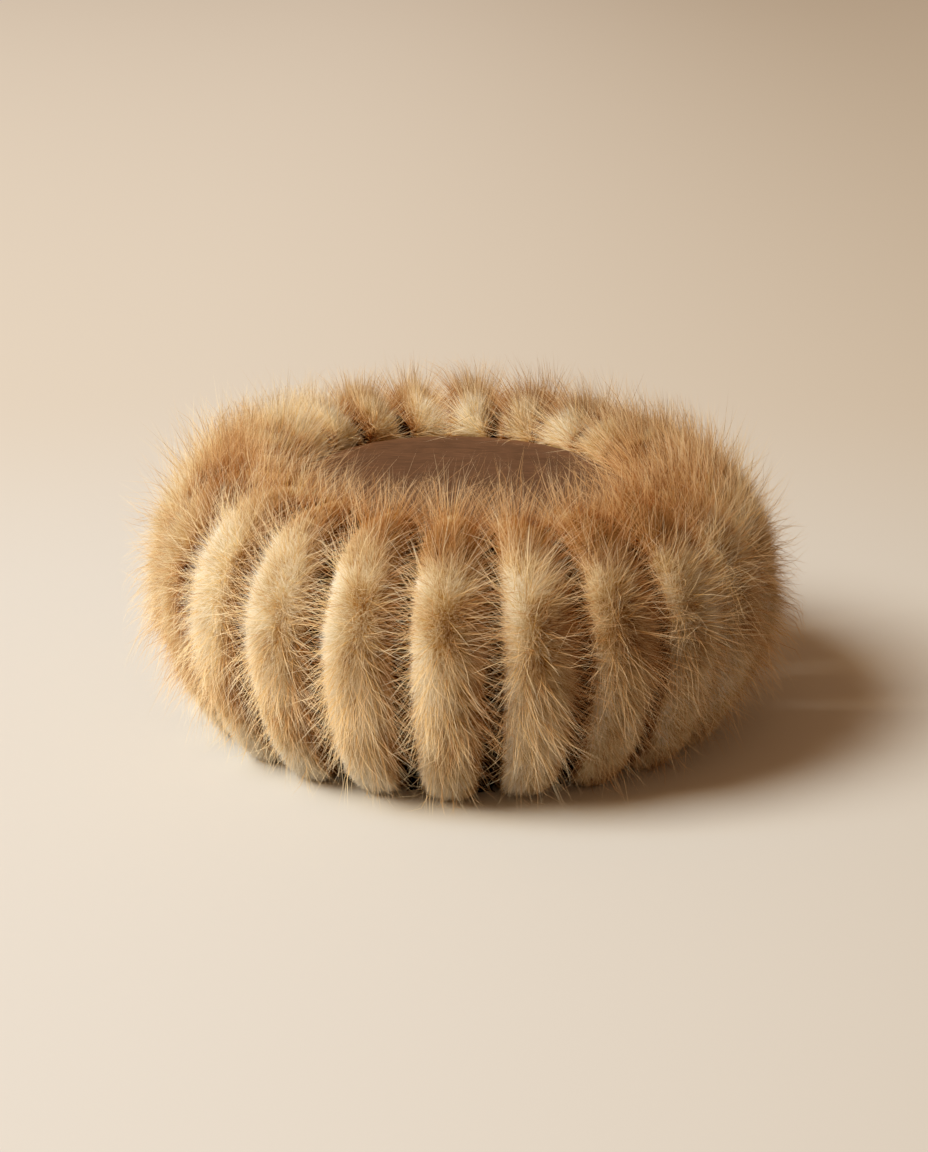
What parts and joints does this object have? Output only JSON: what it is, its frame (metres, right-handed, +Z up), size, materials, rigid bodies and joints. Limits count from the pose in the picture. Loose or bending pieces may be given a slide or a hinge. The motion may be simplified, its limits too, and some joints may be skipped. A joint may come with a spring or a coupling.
{
  "type": "pillbox hat of fur rolls with a suede tip",
  "caption": "Round pillbox hat: upright rolls of golden fur stand side by side round a tapered band, and a brown suede tip closes the top.",
  "frame": {"origin": "on the surface that the hat rests on, under the middle of the hat", "axes": "+Z up through the crown, -Y the front, +X to the right as seen from the front"},
  "size_m": [0.2772, 0.2788, 0.1228],
  "materials": {
    "band_cloth": "plain brown cloth, matte",
    "suede": "short-napped brown suede, matte",
    "fur": "deep golden-cream fur with long guard hairs, soft"
  },
  "bodies": {
    "root": {"side_band": "band_cloth", "crown_tip": "suede", "fur_roll_01": "fur", "fur_roll_02": "fur", "fur_roll_03": "fur", "fur_roll_04": "fur", "fur_roll_05": "fur", "fur_roll_06": "fur", "fur_roll_07": "fur", "fur_roll_08": "fur", "fur_roll_09": "fur", "fur_roll_10": "fur", "fur_roll_11": "fur", "fur_roll_12": "fur", "fur_roll_13": "fur", "fur_roll_14": "fur", "fur_roll_15": "fur", "fur_roll_16": "fur", "fur_roll_17": "fur", "fur_roll_18": "fur", "fur_roll_19": "fur", "fur_roll_20": "fur", "fur_roll_21": "fur", "fur_roll_22": "fur"}
  },
  "joints": []
}
